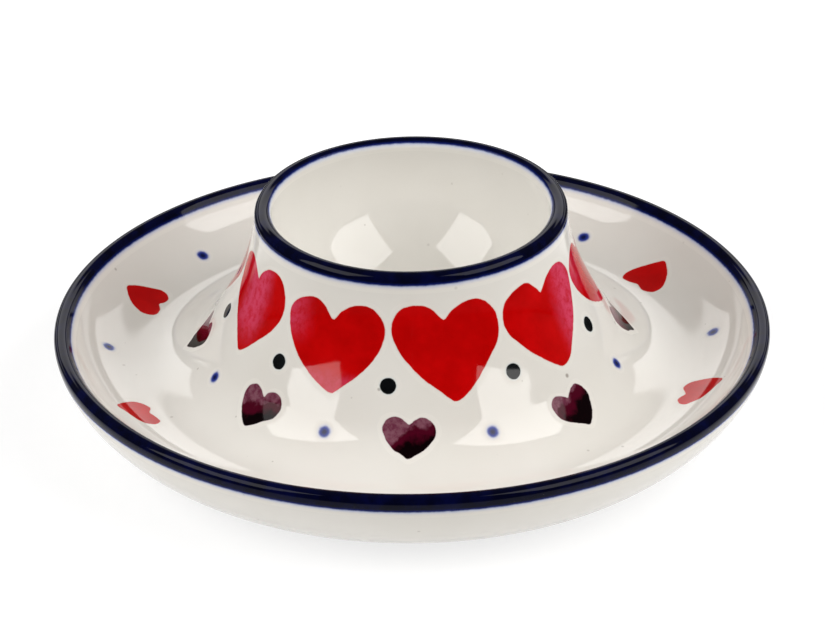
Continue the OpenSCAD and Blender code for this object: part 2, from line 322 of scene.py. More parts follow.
collar_out = face_chain(JOINT_S, FLARE_LOW_S)
collar_in = plain_chain([(collar_inside(z), z) for z in steps(FLARE_IN[1], HOLLOW_Z, 0.5)])
hollow_top = plain_chain(
    line_points((collar_inside(HOLLOW_Z), HOLLOW_Z), (bowl_side(HOLLOW_Z, SLIP), HOLLOW_Z))
)
bedded = plain_chain([(bowl_side(z, SLIP), z) for z in steps(HOLLOW_Z, JOINT_Z, 1)])
collar_foot = joined_ends(collar_out, collar_in)
collar_head = joined_ends(bedded, collar_out)
cup_collar = turned(
    "cup_collar_glazed", [collar_out[:2], collar_foot, collar_in, hollow_top, bedded, collar_head]
)

saucer_top = face_chain(FLARE_LOW_S, face.length - 0.02)
saucer_under = plain_chain(arc(CHANNEL_C, UNDER_R, under_start, 270 - FLARE_SLOPE, 36))
foot_seat = joined_ends(saucer_top, saucer_under)
saucer_joint = joined_ends(saucer_under, saucer_top)
saucer = turned("saucer_glazed", [saucer_top[:2], foot_seat, saucer_under, saucer_joint])


# The bare foot ring
def foot_ring_chain():
    """The ring's outer side, underneath and inner side, with both lower edges rounded."""
    worn, inner = 0.55, 0.5
    line = np.concatenate([
        line_points((FOOT_R, FOOT_H), (FOOT_R, worn), 0.2),
        arc((FOOT_R - worn, worn), worn, 0, -90, 12)[1:],
        line_points((FOOT_R - worn, 0), (FOOT_IN + inner, 0), 0.3)[1:],
        arc((FOOT_IN + inner, inner), inner, -90, -180, 12)[1:],
        line_points((FOOT_IN, inner), (FOOT_IN, FOOT_H), 0.2)[1:],
    ])
    return plain_chain(line)


foot_outer = foot_ring_chain()
foot_top = plain_chain(line_points((FOOT_IN, FOOT_H), (FOOT_R, FOOT_H)))
foot_ring = turned("foot_ring_bare", [foot_outer, foot_top])

# Painted bands: their edges in distance along the face, by hand a little uneven.
# Paint stands PAINT_LIFT off the face, and its underside lies SUNK below it. A band's piece runs on past
# its edges by MARGIN, as plain glaze.
PAINT_LIFT = 0.035
SUNK = 0.03
MARGIN = 1.5
# Value of the edge attribute where there is no paint at all
FAR_OUT = 9.0


def brush_wave(az, seed, reach):
    """Uneven edge of a band drawn on the turning wheel."""
    rng = np.random.default_rng(seed)
    total = np.zeros_like(az)
    for k in range(2, 26):
        total += rng.normal() / k**0.9 * np.cos(k * az + rng.uniform(0, 2 * math.pi))
    return reach * total


def band(name, low, high, seed, front_gap=0.0):
    """A painted ring between two distances along the face, narrower by front_gap at the very front."""
    start, end = low - MARGIN, high + MARGIN

    def lifted(s):
        return 0.004 + PAINT_LIFT * smooth(s, start, start + 0.9) * (1 - smooth(s, end - 0.9, end))

    top = face_chain(start, end, BAND_PITCH, lifted)
    under = face_chain(start, end, BAND_UNDER_PITCH, lambda s: -SUNK + 0 * s)
    back = (under[0][::-1], -under[1][::-1])
    a = (np.stack([top[0][-1], back[0][0]]), np.stack([top[1][-1], top[1][-1]]))
    b = (np.stack([back[0][-1], top[0][0]]), np.stack([top[1][0], top[1][0]]))
    ob = turned(name, [top[:2], a, back, b])
    count = len(ob.data.vertices)
    edge = np.full(count, FAR_OUT, np.float32)
    grid_s, grid_az = top[2], top[3]
    front = np.minimum(grid_az, 2 * math.pi - grid_az)
    lower = low + brush_wave(grid_az, seed, 0.045) + front_gap * np.exp(-((front / 0.27) ** 2))
    upper = high + brush_wave(grid_az, seed + 1, 0.045)
    flat = np.maximum(lower - grid_s, grid_s - upper).ravel()
    edge[: len(flat)] = flat
    layer = ob.data.attributes.new("edge", "FLOAT", "POINT")
    layer.data.foreach_set("value", edge)
    return ob


def collar_s(z):
    """Distance along the face where the collar or the channel's inner half has this height."""
    low, high = LIP_TOP_S + 1.5, face.nearest(CHANNEL_C[0], CHANNEL_Z)
    rows = (face.s >= low) & (face.s <= high)
    return float(face.s[rows][np.argmin(np.abs(face.rz[rows, 1] - z))])


def wall_s(inward):
    """The same on the saucer's inner wall, by the distance in from its edge."""
    low, high = face.nearest(CHANNEL_C[0], CHANNEL_Z), RIM_TOP_S
    rows = (face.s >= low) & (face.s <= high)
    return float(face.s[rows][np.argmin(np.abs(face.rz[rows, 0] - (RIM_MID + RIM_R - inward)))])


CUP_BAND, CUP_INNER_BAND, SAUCER_BAND, SAUCER_INNER_BAND = 1.9, 0.6, 2.7, 1.3
CUP_TOP, SAUCER_TOP = LIP_Z + LIP_R, RIM_Z + RIM_R
cup_inner_r = LIP_MID - math.sqrt(LIP_R**2 - (LIP_R - CUP_INNER_BAND) ** 2)
cup_inner_s = face.nearest(cup_inner_r, CUP_TOP - CUP_INNER_BAND, 0, LIP_TOP_S)
cup_band = band("cup_band_painted", cup_inner_s, collar_s(CUP_TOP - CUP_BAND), 11)
run = (SAUCER_INNER_BAND - RIM_R * (1 - cosd(RIM_SLOPE))) / sind(RIM_SLOPE)
rim_in_r, rim_in_z = WALL_TOP[0] - run * cosd(RIM_SLOPE), WALL_TOP[1] - run * sind(RIM_SLOPE)
rim_in = face.nearest(rim_in_r, rim_in_z, 0, RIM_TOP_S)
outside = face.s > RIM_TOP_S + 1
rim_out = float(face.s[outside][np.argmin(np.abs(face.rz[outside, 1] - (SAUCER_TOP - SAUCER_BAND)))])
saucer_band = band("saucer_band_painted", rim_in, rim_out, 21, 0.35)


# Hearts and dots
def disc(diameter):
    """Outline of a round dot."""
    a = np.linspace(0, 2 * math.pi, 24, endpoint=False)
    return np.stack([np.sin(a), np.cos(a)], 1) * diameter / 2


def resampled(outline, count):
    """The closed outline through the listed points, as evenly spaced points on a smooth curve."""
    p = np.asarray(outline, float)
    n = len(p)
    fine = []
    for i in range(n):
        p0, p1, p2, p3 = p[i - 1], p[i], p[(i + 1) % n], p[(i + 2) % n]
        for t in np.linspace(0, 1, 12, endpoint=False):
            square, cube = 2 * p0 - 5 * p1 + 4 * p2 - p3, 3 * p1 - p0 - 3 * p2 + p3
            fine.append(0.5 * (2 * p1 + (p2 - p0) * t + square * t**2 + cube * t**3))
    fine = np.array(fine + [fine[0]])
    along = np.r_[0, np.cumsum(np.hypot(*np.diff(fine, axis=0).T))]
    at = np.linspace(0, along[-1], count, endpoint=False)
    return np.stack([np.interp(at, along, fine[:, k]) for k in (0, 1)], 1)


def distance_to(outline, points):
    """Distance from each point to the closed outline."""
    a, b = outline, np.roll(outline, -1, 0)
    best = np.full(len(points), 1e9)
    for p, q in zip(a, b):
        d = q - p
        t = np.clip(((points - p) @ d) / max(d @ d, 1e-12), 0, 1)
        best = np.minimum(best, np.hypot(*(points - p - t[:, None] * d).T))
    return best


class Patches:
    """Thin painted patches on the glazed face, gathered into one piece."""

    def __init__(self):
        self.verts, self.faces, self.normals = [], [], []
        self.values = {"edge": [], "spot": [], "thin": []}

    def add(self, outline, az, s, turn=0.0, thin=None, margin=1.0, count=120):
        """Add one patch.

        outline is (across, up) in millimetres about a middle at this azimuth and distance along the face.
        thin gives how thin the paint is at a place, and margin is how far the piece runs on past the paint.
        """
        shape = resampled(outline, count)
        x, y = shape.T
        if np.sum(x * np.roll(y, -1) - np.roll(x, -1) * y) > 0:
            shape = shape[::-1]
        t = math.radians(turn)
        shape = shape @ np.array([[math.cos(t), math.sin(t)], [-math.sin(t), math.cos(t)]])
        middle = shape.mean(0)
        arm = shape - middle
        length = np.hypot(*arm.T)[:, None]
        inside = [0.18, 0.36, 0.54, 0.7, 0.82, 0.9, 0.95, 0.98]
        rings = [middle + arm * k for k in inside] + [shape]
        rings += [middle + arm * (1 + margin * k / length) for k in (0.08, 0.2, 0.35, 0.55, 0.78, 1.0)]
        flat = np.concatenate([middle[None], *rings])
        signed = distance_to(shape, flat)
        signed[: 1 + count * len(inside)] *= -1
        signed[1 + count * len(inside) : 1 + count * (len(inside) + 1)] = 0
        top_lift = 0.003 + PAINT_LIFT * (1 - smooth(signed, 0.25 * margin, 0.85 * margin))
        top_lift[-count:] = 0.003
        last = len(rings)
        base = len(self.verts)
        for lift, sign in ((top_lift, 1), (np.full(len(flat), -SUNK), -1)):
            down = s - flat[:, 1]
            radius = face.read(down)[0]
            where = math.radians(az) + flat[:, 0] / radius
            points, out = skin(down, where, lift)
            self.verts.extend(points)
            self.values["edge"].extend(signed if sign > 0 else np.full(len(flat), FAR_OUT))
            self.values["thin"].extend(np.zeros(len(flat)) if thin is None else thin(*flat.T))
            self.values["spot"].extend(np.c_[flat, np.zeros(len(flat))] / 10)
            start = base if sign > 0 else base + len(flat)

            def corner(ring, j):
                return 0 if ring < 0 else 1 + ring * count + j % count

            for ring in range(last):
                for j in range(count):
                    quad = [corner(ring - 1, j), corner(ring, j)]
                    quad += [corner(ring, j + 1), corner(ring - 1, j + 1)]
                    quad = list(dict.fromkeys(quad))
                    self.put(start, quad if sign < 0 else quad[::-1], out * sign)
        n = len(flat)
        rim = [corner(last - 1, j) for j in range(count)]
        for j in range(count):
            a, b = rim[j], rim[(j + 1) % count]
            self.faces.append([base + a, base + b, base + n + b, base + n + a][::-1])
            self.normals.extend([out[b], out[a], out[a], out[b]])

    def put(self, start, quad, out):
        """Add one face by its corners' places in the patch."""
        self.faces.append([start + q for q in quad])
        self.normals.extend(out[q] for q in quad)

    def piece(self, name):
        """All patches so far as one object."""
        normals = [tuple(n) for n in self.normals]
        values = {key: np.array(column) for key, column in self.values.items()}
        return make_mesh(name, np.array(self.verts), self.faces, normals, values)


collar_hearts, black_dots, plum_hearts = Patches(), Patches(), Patches()
foot_dots, rim_hearts, rim_dots = Patches(), Patches(), Patches()

# Outlines of the hand-painted hearts, as (across, up) in millimetres from their middles
LARGE_SHAPES = [
    [(0.9, -8.1), (-0.7, -7.0), (-3.4, -4.9), (-5.6, -3.3), (-8.9, -0.5), (-10.2, 1.5), (-10.7, 3.6),
     (-10.5, 5.4), (-9.8, 6.4), (-8.0, 7.5), (-6.0, 7.9), (-3.8, 7.1), (-2.2, 5.9), (-1.3, 5.3),
     (-0.8, 6.4), (0.3, 7.5), (1.7, 8.4), (3.3, 8.8), (4.9, 8.8), (6.5, 7.9), (8.0, 5.4), (8.5, 3.0),
     (8.2, 0.8), (6.9, -1.8), (4.7, -4.5), (2.5, -7.1)],
    [(1.4, -8.3), (-1.3, -7.1), (-3.8, -5.5), (-6.3, -3.5), (-8.3, -1.0), (-9.5, 1.5), (-9.8, 4.3),
     (-8.5, 6.3), (-6.2, 7.6), (-4.0, 7.9), (-2.3, 6.9), (-1.3, 5.6), (-0.3, 4.8), (0.9, 6.4),
     (2.5, 7.6), (4.5, 8.2), (6.5, 7.9), (8.3, 6.3), (9.3, 4.1), (9.1, 1.4), (8.0, -1.4), (6.1, -4.1),
     (4.0, -6.2), (2.5, -7.6)],
    [(0.5, -8.9), (-0.9, -8.1), (-2.8, -6.4), (-5.1, -4.5), (-7.0, -2.3), (-8.7, 0.1), (-9.7, 2.6),
     (-9.9, 4.6), (-9.2, 6.6), (-8.2, 7.9), (-6.5, 8.6), (-4.4, 8.7), (-2.7, 8.0), (-1.5, 6.7),
     (-0.5, 5.8), (0.5, 6.9), (2.0, 8.0), (3.9, 8.7), (5.8, 8.7), (7.7, 7.6), (9.2, 5.6), (9.7, 3.0),
     (9.2, 0.3), (7.2, -2.5), (5.0, -5.3), (2.8, -7.6)],
    [(0.1, -8.5), (-1.4, -7.8), (-3.4, -6.1), (-4.6, -4.9), (-6.0, -3.5), (-7.8, -1.1), (-8.9, 0.4),
     (-9.5, 2.5), (-9.2, 4.7), (-8.2, 6.6), (-6.2, 7.9), (-4.2, 8.5), (-2.6, 8.4), (-1.1, 7.1),
     (-0.3, 6.2), (0.2, 5.5), (1.2, 6.3), (2.6, 7.5), (4.3, 8.3), (6.0, 8.5), (8.0, 8.0), (9.6, 6.5),
     (10.4, 4.8), (10.0, 2.2), (8.6, -1.0), (6.8, -3.4), (4.7, -5.5), (2.4, -7.7)],
]
SMALL_SHAPES = [
    [(-1.2, -4.2), (-2.6, -3.3), (-3.7, -2.1), (-4.5, -0.9), (-5.0, 0.8), (-4.7, 2.3), (-3.6, 3.3),
     (-2.5, 3.5), (-1.4, 3.0), (-0.3, 2.0), (0.1, 2.7), (0.9, 3.3), (1.9, 3.5), (2.9, 3.3),
     (3.7, 2.6), (4.2, 1.2), (3.9, -0.2), (3.2, -1.2), (1.8, -2.1), (0.8, -3.0), (-0.3, -3.8)],
    [(-0.3, -4.1), (-1.1, -3.5), (-1.9, -2.9), (-2.7, -2.5), (-3.5, -1.6), (-4.3, -0.3), (-4.8, 1.3),
     (-4.4, 2.5), (-3.8, 3.2), (-2.6, 3.6), (-1.5, 3.3), (-0.8, 2.8), (0.0, 2.2), (0.9, 2.9),
     (2.0, 3.4), (3.1, 3.2), (4.1, 2.4), (4.7, 1.0), (4.5, -0.2), (3.6, -1.4), (2.7, -2.4),
     (1.7, -3.0), (0.6, -3.7)],
    [(0.3, -5.3), (-0.8, -4.7), (-2.1, -3.9), (-3.4, -3.1), (-4.4, -2.0), (-4.8, -0.6), (-4.8, 0.6),
     (-4.2, 1.6), (-3.2, 2.0), (-2.2, 1.7), (-1.2, 1.2), (-0.6, 0.8), (0.1, 1.5), (1.0, 2.1),
     (2.1, 2.4), (3.1, 1.9), (4.0, 0.7), (4.3, -0.5), (3.9, -1.6), (3.1, -3.0), (1.9, -4.3)],
]
RIM_SHAPES = [
    [(0.5, -5.4), (-1.2, -4.5), (-2.4, -3.4), (-3.5, -2.0), (-4.3, -0.6), (-4.1, 0.7), (-3.3, 1.6),
     (-2.2, 2.1), (-1.1, 2.0), (-0.1, 1.5), (1.2, 2.3), (2.6, 2.7), (3.7, 2.5), (4.4, 1.6),
     (4.7, 0.1), (4.3, -1.2), (3.4, -2.9), (2.0, -4.5)],
    [(-0.8, -3.2), (-2.2, -2.0), (-3.1, -0.6), (-3.5, 0.8), (-2.9, 2.0), (-1.8, 2.8), (-0.5, 3.3),
     (0.9, 2.6), (2.2, 2.9), (3.5, 3.2), (4.8, 3.1), (5.5, 1.9), (5.2, 0.4), (4.1, -0.6), (2.6, -1.3),
     (0.8, -2.2)],
    [(2.0, -4.2), (3.4, -2.7), (4.0, -1.2), (3.9, 0.5), (3.3, 2.0), (2.2, 2.9), (0.7, 3.2),
     (-1.2, 2.4), (-2.2, 2.8), (-3.5, 3.2), (-4.9, 2.6), (-5.4, 1.4), (-4.6, 0.3), (-3.6, -1.0),
     (-1.9, -2.1), (0.2, -3.2)],
    [(-0.1, -4.7), (0.9, -4.1), (2.2, -2.7), (3.4, -1.0), (4.0, 0.8), (3.7, 2.5), (2.6, 3.4),
     (0.9, 3.2), (-0.8, 2.7), (-2.6, 3.2), (-4.0, 2.8), (-5.0, 1.9), (-5.2, 0.6), (-4.7, -0.8),
     (-3.4, -2.5), (-1.7, -3.9)],
]


# Where the red paint of a heart is thin and streaky, by place across and up from its middle
def thin_middle(x, y):
    return smooth(x, -6.5, -3) * (1 - smooth(x, 1, 5)) * smooth(y, -8, -1)


def thin_left(x, y):
    return np.maximum((1 - smooth(x, -9, -4)) * smooth(y, -2, 3), 0.8 * (1 - smooth(y, -6, -4))) * 0.7


def thin_right(x, y):
    return smooth(x, 1.5, 7)


# Each heart's azimuth, turn and shape. Those that the photograph hides repeat the shapes that it shows.
# Each row of motifs has one height on the collar, or one distance in from the saucer's edge.
LARGE_HEART_Z, BLACK_DOT_Z, PLUM_HEART_Z, FOOT_DOT_Z = 28.9, 23.7, 16, 15.6
RIM_HEART_IN, RIM_DOT_IN = 11.6, 9.4
BLACK_DOT_D, FOOT_DOT_D, RIM_DOT_D = 2.9, 2.0, 2.1
for az, turn, shape, thin in (
    (-65, 0, 0, thin_middle), (-27, 0, 1, thin_left), (12, 0, 2, None), (50.5, 0, 3, thin_right),
    (91, 4, 1, thin_left), (131, -5, 2, None), (171, 3, 1, thin_middle), (212, -7, 3, thin_right),
    (254, 0, 2, None),
):
    collar_hearts.add(LARGE_SHAPES[shape], az, collar_s(LARGE_HEART_Z), turn, thin)
for az in (-82.5, -44.7, -7.4, 32, 70.3, 111, 151, 191, 233):
    black_dots.add(disc(BLACK_DOT_D), az, collar_s(BLACK_DOT_Z), count=48)
for az, turn, shape in (
    (-92, 4, 1), (-45, 0, 0), (-1, 0, 1), (48, 0, 2), (99, -5, 1), (143, 6, 0), (184, -3, 1), (226, 5, 2),
):
    plum_hearts.add(SMALL_SHAPES[shape], az, collar_s(PLUM_HEART_Z), turn, count=96)
for az in (-67.3, -24, 21.4, 73, 120, 163, 205, 247):
    foot_dots.add(disc(FOOT_DOT_D), az, collar_s(FOOT_DOT_Z), count=40)
for az, turn, shape in (
    (-115.3, 0, 0), (-69.3, 0, 1), (-24, 10, 3), (23, -12, 0), (75.5, 0, 2), (124.6, 0, 3),
    (168, 9, 0), (206, -7, 3),
):
    rim_hearts.add(RIM_SHAPES[shape], az, wall_s(RIM_HEART_IN), turn, count=96)
for az in (-135, -93.7, -46, 0, 47, 97.2, 144, 184):
    rim_dots.add(disc(RIM_DOT_D), az, wall_s(RIM_DOT_IN), count=40)


# Materials
class Nodes:
    """Short names for making nodes in a tree."""

    def __init__(self, tree):
        self.tree = tree

    def new(self, kind, **settings):
        node = self.tree.nodes.new(kind)
        for key, value in settings.items():
            setattr(node, key, value)
        return node

    def link(self, source, target):
        self.tree.links.new(source, target)

    def feed(self, socket, value):
        """Give an input a value, or link it to another node's output."""
        if isinstance(value, bpy.types.NodeSocket):
            self.link(value, socket)
        else:
            socket.default_value = value

    def math(self, operation, a, b=0.0, c=None):
        node = self.new("ShaderNodeMath", operation=operation)
        self.feed(node.inputs[0], a)
        self.feed(node.inputs[1], b)
        if c is not None:
            self.feed(node.inputs[2], c)
        return node.outputs[0]

    def ramp(self, value, low, high, to_low=0.0, to_high=1.0, kind="SMOOTHSTEP"):
        """A rise from to_low to to_high while the value goes from low to high."""
        node = self.new("ShaderNodeMapRange", interpolation_type=kind, clamp=True)
        names = ("Value", "From Min", "From Max", "To Min", "To Max")
        for name, x in zip(names, (value, low, high, to_low, to_high)):
            self.feed(node.inputs[name], x)
        return node.outputs[0]

    def mix(self, factor, a, b):
        node = self.new("ShaderNodeMix", data_type="RGBA")
        self.feed(node.inputs["Factor"], factor)
        for name, x in (("A", a), ("B", b)):
            self.feed([i for i in node.inputs if i.name == name and i.type == "RGBA"][0], x)
        return [o for o in node.outputs if o.type == "RGBA"][0]

    def noise(self, scale, detail=2.0, rough=0.5):
        node = self.new("ShaderNodeTexNoise")
        node.inputs["Scale"].default_value = scale
        node.inputs["Detail"].default_value = detail
        node.inputs["Roughness"].default_value = rough
        self.link(self.where(), node.inputs["Vector"])
        return node.outputs["Fac"]

    def where(self, offset=None):
        """Place in metres. All pieces sit at the origin, so it is the same on each."""
        if not hasattr(self, "place"):
            self.place = self.new("ShaderNodeTexCoord").outputs["Object"]
        if offset is None:
            return self.place
        node = self.new("ShaderNodeVectorMath", operation="ADD")
        self.link(self.place, node.inputs[0])
        node.inputs[1].default_value = offset
        return node.outputs[0]

    def attribute(self, name):
        return self.new("ShaderNodeAttribute", attribute_name=name, attribute_type="GEOMETRY")

    def parts(self, vector):
        """A node with the vector's X, Y and Z as its outputs."""
        node = self.new("ShaderNodeSeparateXYZ")
        self.link(vector, node.inputs[0])
        return node.outputs

    def bump(self, height, strength, distance, shader):
        """Tilt the shader's surface by a height, in metres."""
        node = self.new("ShaderNodeBump")
        node.inputs["Strength"].default_value = strength
        node.inputs["Distance"].default_value = distance
        self.link(height, node.inputs["Height"])
        self.link(node.outputs[0], shader.inputs["Normal"])


# The glaze's colours, and the refractive index of the clear glaze, the paints and the dark paints
CREAM = (0.785, 0.765, 0.720, 1)
CREAM_DEEP = (0.735, 0.710, 0.655, 1)
SPECK = (0.16, 0.12, 0.09, 1)
GLAZE_IOR, PAINT_IOR, DARK_PAINT_IOR = 1.5, 1.34, 1.2


def glaze_colour(n):
    """Cream glaze, cloudy, with fine iron specks in a share of the cells of two patterns."""
    cloud = n.ramp(n.noise(38, 3, 0.55), 0.35, 0.7)
    colour = n.mix(n.math("MULTIPLY", cloud, 0.55), CREAM, CREAM_DEEP)
    for scale, share, inner, outer, strength, offset in (
        (210, 0.13, 0.012, 0.030, 0.75, (0.011, 0.007, 0.003)),
        (430, 0.10, 0.016, 0.042, 0.45, (0.004, 0.013, 0.009)),
    ):
        cells = n.new("ShaderNodeTexVoronoi", feature="F1", distance="EUCLIDEAN")
        cells.inputs["Scale"].default_value = scale
        n.link(n.where(offset), cells.inputs["Vector"])
        split = n.new("ShaderNodeSeparateColor")
        n.link(cells.outputs["Color"], split.inputs[0])
        has = n.math("LESS_THAN", split.outputs[0], share)
        full_to = n.math("MULTIPLY", n.math("ADD", split.outputs[1], 0.25), inner * 4)
        gone_at = n.math("MULTIPLY", n.math("ADD", split.outputs[1], 0.35), outer * 4)
        spot = n.ramp(cells.outputs["Distance"], full_to, gone_at, 1.0, 0.0)
        depth = n.math("MULTIPLY_ADD", split.outputs[2], strength * 0.6, strength * 0.4)
        amount = n.math("MULTIPLY", n.math("MULTIPLY", has, spot), depth)
        colour = n.mix(amount, colour, SPECK)
    return colour


def glaze_finish(n, shader, ior):
    """The shine and the faint unevenness that all glazed and painted places share."""
    shader.inputs["IOR"].default_value = ior
    n.link(n.ramp(n.noise(95, 3, 0.6), 0.3, 0.75, 0.035, 0.075), shader.inputs["Roughness"])
    waves, pits = n.noise(160, 2, 0.5), n.noise(900, 1, 0.5)
    n.bump(n.math("ADD", waves, n.math("MULTIPLY", pits, 0.12)), 0.35, 0.00002, shader)


def material(name):
    m = bpy.data.materials.new(name)
    m.use_nodes = True
    m.node_tree.nodes.clear()
    n = Nodes(m.node_tree)
    shader = n.new("ShaderNodeBsdfPrincipled")
    n.link(shader.outputs[0], n.new("ShaderNodeOutputMaterial").inputs[0])
    return m, n, shader


def glazed():
    m, n, shader = material("cream_glaze")
    n.link(glaze_colour(n), shader.inputs["Base Color"])
    glaze_finish(n, shader, GLAZE_IOR)
    return m


def bare_clay():
    m, n, shader = material("bare_stoneware")
    tone = n.ramp(n.noise(900, 4, 0.65), 0.35, 0.7)
    grain = n.mix(tone, (0.56, 0.47, 0.37, 1), (0.40, 0.32, 0.24, 1))
    colour = n.mix(n.ramp(n.noise(120, 2, 0.5), 0.35, 0.75), grain, (0.62, 0.55, 0.46, 1))
    n.link(colour, shader.inputs["Base Color"])
    n.link(n.ramp(n.noise(1400, 3, 0.6), 0.3, 0.7, 0.72, 0.92), shader.inputs["Roughness"])
    n.bump(n.noise(2200, 4, 0.6), 0.6, 0.00008, shader)
    return m


def painted(name, core, soft, halo, halo_reach, halo_strength, ior=PAINT_IOR, ragged=0.06):
    """Underglaze paint.

    core(n, edge) gives its colour, soft is how far its edge fades in millimetres, halo is the colour that
    bleeds beyond it, and ragged is how uneven the edge is.
    """
    m, n, shader = material(name)
    edge = n.attribute("edge").outputs["Fac"]
    shift = n.math("MULTIPLY", n.math("SUBTRACT", n.noise(900, 3, 0.6), 0.5), ragged * 4)
    edge = n.math("ADD", edge, shift)
    colour = glaze_colour(n)
    bleed = n.math("POWER", n.ramp(edge, halo_reach, -0.05, 0.0, 1.0, "LINEAR"), 2.2)
    colour = n.mix(n.math("MULTIPLY", bleed, halo_strength), colour, halo)
    colour = n.mix(n.ramp(edge, soft, -soft), colour, core(n, edge))
    n.link(colour, shader.inputs["Base Color"])
    glaze_finish(n, shader, ior)
    return m


# The paints' colours. edge is the distance past the paint's edge in millimetres, negative inside.
def navy(n, edge):
    tone = n.ramp(n.noise(260, 3, 0.6), 0.35, 0.7)
    deep = n.mix(tone, (0.001, 0.0013, 0.009, 1), (0.0013, 0.0022, 0.026, 1))
    return n.mix(n.ramp(edge, -0.65, 0.08), deep, (0.007, 0.016, 0.145, 1))


def red(n, edge):
    tone = n.ramp(n.noise(190, 3, 0.6), 0.3, 0.75)
    full = n.mix(tone, (0.45, 0.0004, 0.0005, 1), (0.56, 0.001, 0.0015, 1))
    streaks = n.ramp(n.noise(700, 4, 0.7), 0.30, 0.62)
    streaks = n.math("MULTIPLY_ADD", streaks, 0.65, 0.35)
    thin = n.math("MULTIPLY", n.attribute("thin").outputs["Fac"], streaks)
    return n.mix(thin, full, (0.62, 0.055, 0.12, 1))


def plum(n, edge):
    # From a pale wash at the top left, over plum, to near black at the bottom right
    spot = n.parts(n.attribute("spot").outputs["Vector"])
    lean = n.math("MULTIPLY_ADD", spot["X"], 0.45, n.math("MULTIPLY", spot["Y"], -1.0))
    blotches = n.math("MULTIPLY", n.math("SUBTRACT", n.noise(330, 3, 0.6), 0.5), 0.55)
    lean = n.math("ADD", lean, blotches)
    tone = n.ramp(n.noise(800, 3, 0.65), 0.35, 0.65)
    wash = n.mix(tone, (0.20, 0.075, 0.105, 1), (0.125, 0.025, 0.05, 1))
    colour = n.mix(n.ramp(lean, -0.14, -0.04), wash, (0.060, 0.0015, 0.010, 1))
    return n.mix(n.ramp(lean, 0.02, 0.2), colour, (0.003, 0.0006, 0.0012, 1))


def black(n, edge):
    tone = n.ramp(n.noise(500, 2, 0.5), 0.3, 0.7)
    return n.mix(tone, (0.0025, 0.003, 0.0035, 1), (0.006, 0.008, 0.009, 1))


def cobalt(n, edge):
    return n.mix(n.ramp(edge, -0.85, -0.1), (0.004, 0.007, 0.060, 1), (0.030, 0.050, 0.30, 1))


glaze = glazed()
BLUE_HALO, RED_HALO = (0.22, 0.30, 0.62, 1), (0.62, 0.25, 0.22, 1)
PLUM_HALO, BLACK_HALO = (0.45, 0.30, 0.38, 1), (0.45, 0.55, 0.58, 1)
finishes = {
    "navy": painted("navy_underglaze", navy, 0.2, BLUE_HALO, 1.0, 0.8, DARK_PAINT_IOR),
    "red": painted("red_underglaze", red, 0.07, RED_HALO, 0.35, 0.5),
    "plum": painted("plum_underglaze", plum, 0.08, PLUM_HALO, 0.35, 0.4, DARK_PAINT_IOR),
    "black": painted("black_underglaze", black, 0.08, BLACK_HALO, 0.5, 0.55),
    "cobalt": painted("cobalt_underglaze", cobalt, 0.28, BLUE_HALO, 0.8, 0.6, ragged=0.09),
}

pieces = [
    (egg_bowl, glaze, "glaze", "egg_bowl"),
    (cup_collar, glaze, "glaze", "cup_collar"),
    (saucer, glaze, "glaze", "saucer"),
    (foot_ring, bare_clay(), "bare_clay", "foot_ring"),
    (cup_band, finishes["navy"], "navy_paint", "cup_rim_band"),
    (saucer_band, finishes["navy"], "navy_paint", "saucer_rim_band"),
    (collar_hearts.piece("large_hearts_painted"), finishes["red"], "red_paint", "collar_hearts"),
    (black_dots.piece("black_dots_painted"), finishes["black"], "black_paint", "black_dots"),
    (plum_hearts.piece("plum_hearts_painted"), finishes["plum"], "plum_paint", "plum_hearts"),
    (foot_dots.piece("collar_foot_dots_painted"), finishes["cobalt"], "blue_paint", "foot_dots"),
    (rim_hearts.piece("rim_hearts_painted"), finishes["red"], "red_paint", "rim_hearts"),
    (rim_dots.piece("rim_dots_painted"), finishes["cobalt"], "blue_paint", "rim_dots"),
]
for ob, finish, slot, node in pieces:
    ob.data.materials.append(finish)
    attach(ob, "root")
    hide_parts(node)

# Camera, as fitted to the photograph, in metres, degrees and, for the lens, millimetres
CAM_DISTANCE, CAM_UP, CAM_ROLL, CAM_LENS = 1.0, 28.2, -0.6, 239.3
CAM_TARGET = (0.00020, 0, 0.02094)
camera = bpy.data.cameras.new("camera")
camera.sensor_width, camera.lens, camera.clip_start = 36, CAM_LENS, 0.01
camera_ob = bpy.data.objects.new("camera", camera)
bpy.context.scene.collection.objects.link(camera_ob)
up = Vector((0, sind(CAM_UP), cosd(CAM_UP)))
look = Vector((0, cosd(CAM_UP), -sind(CAM_UP)))
right = Vector((1, 0, 0))
turned_right = cosd(CAM_ROLL) * right + sind(CAM_ROLL) * up
turned_up = -sind(CAM_ROLL) * right + cosd(CAM_ROLL) * up
pose = Matrix((turned_right, turned_up, -look)).transposed().to_4x4()
pose.translation = Vector(CAM_TARGET) - look * CAM_DISTANCE
camera_ob.matrix_world = pose
bpy.context.scene.camera = camera_ob


# Two softboxes, a pale backdrop behind and a dim studio round them
SOFTBOX_RADIANCE, SOFTBOX_DISTANCE = 4.2, 0.75


